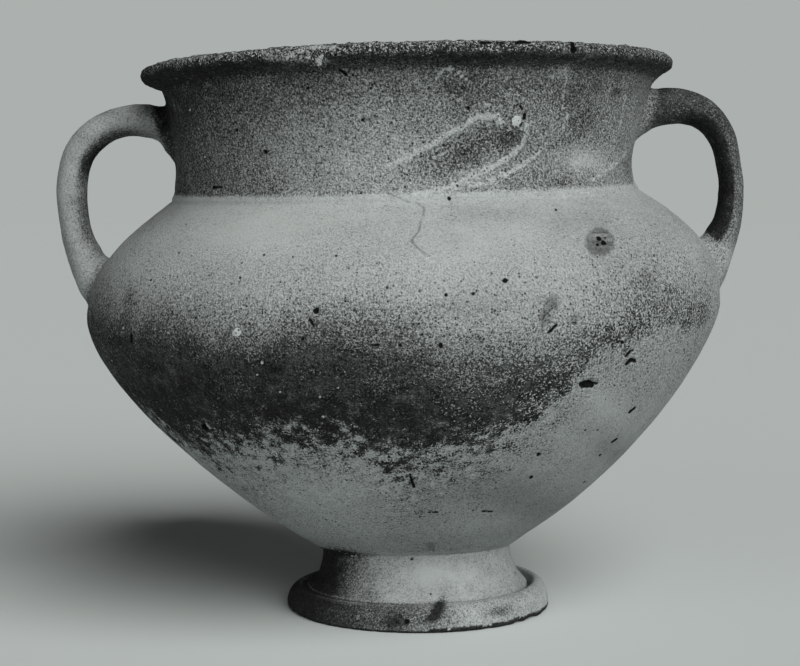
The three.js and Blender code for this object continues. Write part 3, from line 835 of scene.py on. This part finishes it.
    # The foot's lowest rim is painted near black: a painted shadow where it meets the floor.
    under = (height < 1.7) & (radius > FOOT_EDGE[0][0] - 1)
    dark = np.where(under, 1.3, dark)
    pepper = pepper * (1 - lip) + 0.75 * lip
    dark = dark * (1 - lip) + lip * (0.8 - 0.2 * smoothstep(height, 335, 339.5))
    dark += 0.35 * lip * (1 - smoothstep(turned, -75, -60))
    crust = np.maximum(crust, lip * 0.3)
    grit = np.maximum(grit, 1.2 * lip)
    for u, v, length, tall, turn, stain_and_shade, greyness, lime, coarse in PATCHES:
        share = patch_share(p, seen, u, v, length, tall, turn)
        dark += stain_and_shade * share
        grey += greyness * share
        crust += lime * share
        grit += coarse * share
    for u, v, size, greyness in DISCS:
        share = patch_share(p, seen, u, v, size, size, 0)
        grey += 1.5 * greyness * smoothstep(share, 0.24, 0.4)
        dark += 0.3 * greyness * smoothstep(share, 0.5, 0.9)
    for pixels, size, strength in CRUST_STREAKS:
        line = seen.line(pixels)
        if len(line):
            away = line_distance(p, line)
            halo = 1 - smoothstep(away, 0, 6 * size)
            core = 1 - smoothstep(away, 0, 0.9 * size)
            crust = np.maximum(crust, strength * (core + 0.38 * halo))
    spot = np.full(len(p), SPOT_LIMIT)
    for u, v, size in CRUST_SPOTS:
        line = seen.line([(u, v)])
        if len(line):
            spot = np.minimum(spot, line_distance(p, line) - size)
    pit = np.full(len(p), SPOT_LIMIT)
    uneven = 1 + 0.5 * rough(p, 2.6, 31)
    for pixels, size in [([(u, v)], size) for u, v, size, _ in ROUND_PITS] + [m[:2] for m in LONG_PITS]:
        line = seen.line(pixels)
        if len(line):
            pit = np.minimum(pit, line_distance(p, line) - size * uneven)
    slip = np.minimum(line_distance(p, seen.line(SLIP_EDGE)), SPOT_LIMIT)
    inside = 1 - outside
    dark = dark * outside + inside * (0.26 + 0.25 * smoothstep(height, 120, 40))
    grey = grey * outside + inside * 0.55
    crust = crust * outside + inside * 0.08
    return {"stain_and_shade": dark, "greyness": grey, "crust": crust, "grit": np.clip(grit, 0, 1.2), "pepper": np.clip(pepper, 0, 1), "pit": pit,
            "spot": spot, "slip": slip}


def patch_share(p, seen, u, v, length, tall, turn):
    """How much a soft oval patch covers each point. Its sizes are pixels of the photograph, seen square on."""
    hit = seen.place(u, v)
    if not hit:
        return np.zeros(len(p))
    middle, normal = hit
    ray = middle - EYE
    away = np.linalg.norm(ray)
    pixel = away / FOCAL_PIXELS
    sight = ray / away
    right = np.cross(sight, (0, 0, 1))
    right /= np.linalg.norm(right)
    up = np.cross(right, sight)
    angle = math.radians(turn)
    long_way = right * math.cos(angle) + up * math.sin(angle)
    short_way = up * math.cos(angle) - right * math.sin(angle)
    off = p - middle
    across = off @ long_way / (length * pixel)
    along = off @ short_way / (tall * pixel)
    depth = np.abs(off @ sight) < PATCH_DEPTH
    facing = (normal @ -sight) > 0
    return np.exp(-(across**2 + along**2) * 1.2) * depth * facing


class Nodes:
    """Short words for building a material's nodes."""

    def __init__(self, name):
        self.material = bpy.data.materials.new(name)
        self.material.use_nodes = True
        self.tree = self.material.node_tree
        self.shader = self.tree.nodes["Principled BSDF"]
        self.here = self.tree.nodes.new("ShaderNodeTexCoord").outputs["Object"]

    def plug(self, socket, value):
        if isinstance(value, bpy.types.NodeSocket):
            self.tree.links.new(value, socket)
        else:
            socket.default_value = value

    def math(self, operation, *values):
        node = self.tree.nodes.new("ShaderNodeMath")
        node.operation = operation
        for socket, value in zip(node.inputs, values):
            self.plug(socket, value)
        return node.outputs[0]

    def add(self, *values):
        total = values[0]
        for value in values[1:]:
            total = self.math("ADD", total, value)
        return total

    def times(self, a, b):
        return self.math("MULTIPLY", a, b)

    def step(self, value, low, high):
        """0 below low, 1 above high, and smooth between. High may be the lower one."""
        node = self.tree.nodes.new("ShaderNodeMapRange")
        node.interpolation_type = "SMOOTHSTEP"
        for name, setting in (("Value", value), ("From Min", low), ("From Max", high)):
            self.plug(node.inputs[name], setting)
        return node.outputs["Result"]

    def mix(self, share, first, second):
        node = self.tree.nodes.new("ShaderNodeMix")
        node.data_type = "RGBA"
        self.plug(node.inputs["Factor"], share)
        colours = [socket for socket in node.inputs if socket.type == "RGBA"]
        self.plug(colours[0], first)
        self.plug(colours[1], second)
        return [socket for socket in node.outputs if socket.type == "RGBA"][0]

    def blend(self, share, first, second):
        """The same for plain numbers."""
        node = self.tree.nodes.new("ShaderNodeMix")
        for name, setting in (("Factor", share), ("A", first), ("B", second)):
            self.plug(node.inputs[name], setting)
        return node.outputs["Result"]

    def painted(self, name):
        node = self.tree.nodes.new("ShaderNodeAttribute")
        node.attribute_name = name
        return node.outputs["Fac"]

    def scaled(self, x, y, z):
        node = self.tree.nodes.new("ShaderNodeMapping")
        node.inputs["Scale"].default_value = (x, y, z)
        self.tree.links.new(self.here, node.inputs["Vector"])
        return node.outputs["Vector"]

    def noise(self, scale, detail=2, roughness=0.5, place=None):
        """Noise round zero, with most of it between -0.5 and 0.5."""
        node = self.tree.nodes.new("ShaderNodeTexNoise")
        self.tree.links.new(place or self.here, node.inputs["Vector"])
        node.inputs["Scale"].default_value = scale
        node.inputs["Detail"].default_value = detail
        node.inputs["Roughness"].default_value = roughness
        return self.math("MULTIPLY_ADD", node.outputs["Fac"], 2.2, -1.1)

    def spots(self, scale, size, rarity, raggedness):
        """1 in spots of uneven sizes, 0 between them."""
        node = self.tree.nodes.new("ShaderNodeTexVoronoi")
        self.tree.links.new(self.here, node.inputs["Vector"])
        node.inputs["Scale"].default_value = scale
        apart = self.tree.nodes.new("ShaderNodeSeparateColor")
        self.tree.links.new(node.outputs["Color"], apart.inputs["Color"])
        radius = self.times(self.math("POWER", apart.outputs[0], rarity), size)
        edge = self.math("SUBTRACT", self.add(node.outputs["Distance"], raggedness), radius)
        return self.step(edge, 0.0, -0.06)


def grey(value):
    """A slightly green grey, as the photograph's are."""
    return (value * 0.955, value * 1.02, value * 0.985, 1)


def clay_material():
    n = Nodes("fired_clay")
    stain_and_shade, greyness, crust, grit = (n.painted(name) for name in ("stain_and_shade", "greyness", "crust", "grit"))
    pepper, pit, spot, slip = (n.painted(name) for name in ("pepper", "pit", "spot", "slip"))
    rugged = n.noise(800, 3, 0.65)
    fine = n.noise(1500, 1)
    clumps = n.noise(190, 3, 0.6)
    mottle = n.noise(62, 4, 0.62)
    broad = n.noise(20, 3, 0.55)
    second = n.noise(620, 3, 0.62, n.scaled(1, 1, 1.3))
    streak = n.noise(1, 3, 0.6, n.scaled(26, 26, 420))
    lip = n.step(grit, 0.95, 1.15)

    tone = n.add(greyness, n.times(mottle, 0.3), n.times(broad, 0.22), n.times(clumps, n.times(grit, 0.4)),
                 n.times(streak, n.math("MULTIPLY_ADD", greyness, 0.9, 0.06)))
    base = n.blend(n.step(tone, -0.15, 1.1), PALE_CLAY, GREY_CLAY)

    low = n.add(n.times(rugged, -0.9), n.times(fine, 0.5))
    lifted = n.times(n.times(second, lip), 0.9)
    film = n.add(stain_and_shade, n.times(low, 0.34), n.times(clumps, 0.22), n.times(mottle, 0.36), n.times(broad, 0.24), lifted)
    grains = n.add(stain_and_shade, n.times(low, 1.05), n.times(clumps, 0.4), n.times(mottle, 0.4), n.times(broad, 0.1), lifted)
    film = n.step(film, -0.12, 1.02)
    grains = n.step(grains, 0.4, 0.64)
    coat = n.add(film, n.times(pepper, n.math("SUBTRACT", grains, film)))
    worn = n.add(n.times(clumps, 0.5), n.times(mottle, 0.6), n.times(broad, 0.4))
    # Above 1 the coat goes to its darkest colour. The painted shade at the foot's left, under the lip and inside the
    # handles is pushed there.
    worn = n.add(worn, n.times(n.math("MAXIMUM", n.add(stain_and_shade, -1), 0), -2))
    value = n.blend(coat, base, n.blend(n.step(worn, -0.3, 0.7), STAIN_AND_SHADE_TONE, WORN_STAIN_AND_SHADE_TONE))
    uneven = n.add(n.times(rugged, 1.3), n.times(fine, -0.8), n.times(clumps, 0.45), n.times(mottle, 0.35))
    uneven = n.add(uneven, n.times(n.math("MAXIMUM", uneven, 0.0), -0.45))
    uneven = n.times(uneven, n.add(0.03, n.times(grit, 0.5), n.times(film, 0.6)))
    uneven = n.add(uneven, n.times(streak, n.times(greyness, 0.4)))
    value = n.times(value, n.math("POWER", 10.0, uneven))

    limed = n.add(crust, n.times(second, 0.8), n.times(fine, 0.4), n.times(clumps, 0.5), n.times(mottle, 0.25))
    limed = n.add(limed, n.times(n.times(rugged, lip), 0.5))
    lime = n.step(limed, 0.42, 0.9)
    value = n.blend(n.times(lime, 0.85), value, n.blend(n.step(rugged, -0.3, 0.4), 0.7 * LIME, LIME))

    shape = n.add(n.times(rugged, -0.6), n.times(fine, 0.5))
    specks = n.times(n.spots(165, 0.19, 4, n.times(shape, 0.16)), n.step(n.add(mottle, n.times(grit, 0.3)), -0.1, 0.3))
    pores = n.times(n.spots(680, 0.5, 2.4, n.times(shape, 0.3)), n.step(n.add(grit, n.times(clumps, 0.8)), 0.25, 0.85))
    holes = n.math("MAXIMUM", n.times(specks, 0.9), n.times(pores, 0.85))
    marked = n.step(n.add(pit, n.times(shape, 1.1)), 0.05, -0.35)
    spotted = n.step(n.add(spot, n.times(shape, 0.5)), 0.2, -0.2)
    line = n.step(n.add(slip, n.times(shape, 0.3)), 0.8, 0.4)
    line = n.times(line, n.step(n.add(clumps, mottle, 0.1), -0.1, 0.3))
    value = n.blend(spotted, value, LIME)
    dark = n.math("MAXIMUM", n.math("MAXIMUM", holes, n.times(marked, 0.985)), n.times(line, 0.3))
    value = n.blend(dark, value, HOLE)
    n.plug(n.shader.inputs["Base Color"], n.mix(value, (0, 0, 0, 1), grey(1)))

    n.plug(n.shader.inputs["Roughness"], n.math("MULTIPLY_ADD", fine, 0.06, 0.9))
    n.shader.inputs["Specular IOR Level"].default_value = 0.12
    rise = n.add(n.times(n.add(rugged, n.times(fine, -0.25)), n.math("MULTIPLY_ADD", grit, 1.9, 0.06)),
                 n.times(lime, 0.3), n.times(dark, -0.9), n.times(streak, 0.12))
    bump = n.tree.nodes.new("ShaderNodeBump")
    bump.inputs["Strength"].default_value = 1
    bump.inputs["Distance"].default_value = BUMP_DEPTH * MM
    n.plug(bump.inputs["Height"], rise)
    n.plug(n.shader.inputs["Normal"], bump.outputs["Normal"])
    return n.material


def paper_material():
    n = Nodes("paper")
    tone = n.add(0.5, n.times(n.noise(3, 2), 0.05), n.times(n.noise(260, 2), 0.05))
    n.plug(n.shader.inputs["Base Color"], n.mix(tone, grey(PAPER * 0.97), grey(PAPER * 1.03)))
    n.shader.inputs["Roughness"].default_value = 0.95
    n.shader.inputs["Specular IOR Level"].default_value = 0.1
    return n.material


def store(mesh, name, values):
    layer = mesh.attributes.new(name, "FLOAT", "POINT")
    layer.data.foreach_set("value", np.ascontiguousarray(values, np.float32))


def finished_jar():
    made = build_shape()
    made.name = "jar_surface"
    mesh = made.data
    seen = Seen(made)
    refined(mesh, seen)
    roughened(mesh, seen)
    for name, values in painted(mesh, Seen(made)).items():
        store(mesh, name, values)
    mesh.transform(Matrix.Scale(MM, 4))
    mesh.materials.clear()
    mesh.materials.append(clay_material())
    mesh.polygons.foreach_set("use_smooth", np.ones(len(mesh.polygons), bool))
    mesh.update()
    return made


def linked(name, data):
    made = bpy.data.objects.new(name, data)
    bpy.context.scene.collection.objects.link(made)
    return made


jar = finished_jar()
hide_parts("jar")
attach(jar, "root")

camera = linked("camera", bpy.data.cameras.new("camera"))
camera.location = Vector(EYE) * MM
camera.rotation_euler = (math.radians(90 - CAMERA_DROP_DEGREES), 0, 0)
camera.data.sensor_width = SENSOR_WIDTH
camera.data.lens = LENS
bpy.context.scene.camera = camera

corners = [(-TABLE, -TABLE, 0), (TABLE, -TABLE, 0), (TABLE, TABLE, 0), (-TABLE, TABLE, 0)]
floor = mesh_object("floor", corners, [(0, 1, 2, 3)])
floor.data.materials.append(paper_material())

for name, (toward, energy, spread) in LAMPS.items():
    lamp = linked(name, bpy.data.lights.new(name, "SUN"))
    lamp.data.energy = energy
    lamp.data.angle = math.radians(spread)
    lamp.rotation_euler = Vector(toward).to_track_quat("Z", "Y").to_euler()

world = bpy.data.worlds.new("studio")
bpy.context.scene.world = world
world.use_nodes = True
sky = world.node_tree.nodes["Background"]
sky.inputs["Color"].default_value = grey(1)
sky.inputs["Strength"].default_value = FILL
backdrop = world.node_tree.nodes.new("ShaderNodeBackground")
backdrop.inputs["Color"].default_value = grey(BACKDROP)
either = world.node_tree.nodes.new("ShaderNodeMixShader")
path = world.node_tree.nodes.new("ShaderNodeLightPath")
world.node_tree.links.new(path.outputs["Is Camera Ray"], either.inputs["Fac"])
world.node_tree.links.new(sky.outputs["Background"], either.inputs[1])
world.node_tree.links.new(backdrop.outputs["Background"], either.inputs[2])
world.node_tree.links.new(either.outputs["Shader"], world.node_tree.nodes["World Output"].inputs["Surface"])
bpy.context.scene.view_settings.view_transform = "Standard"
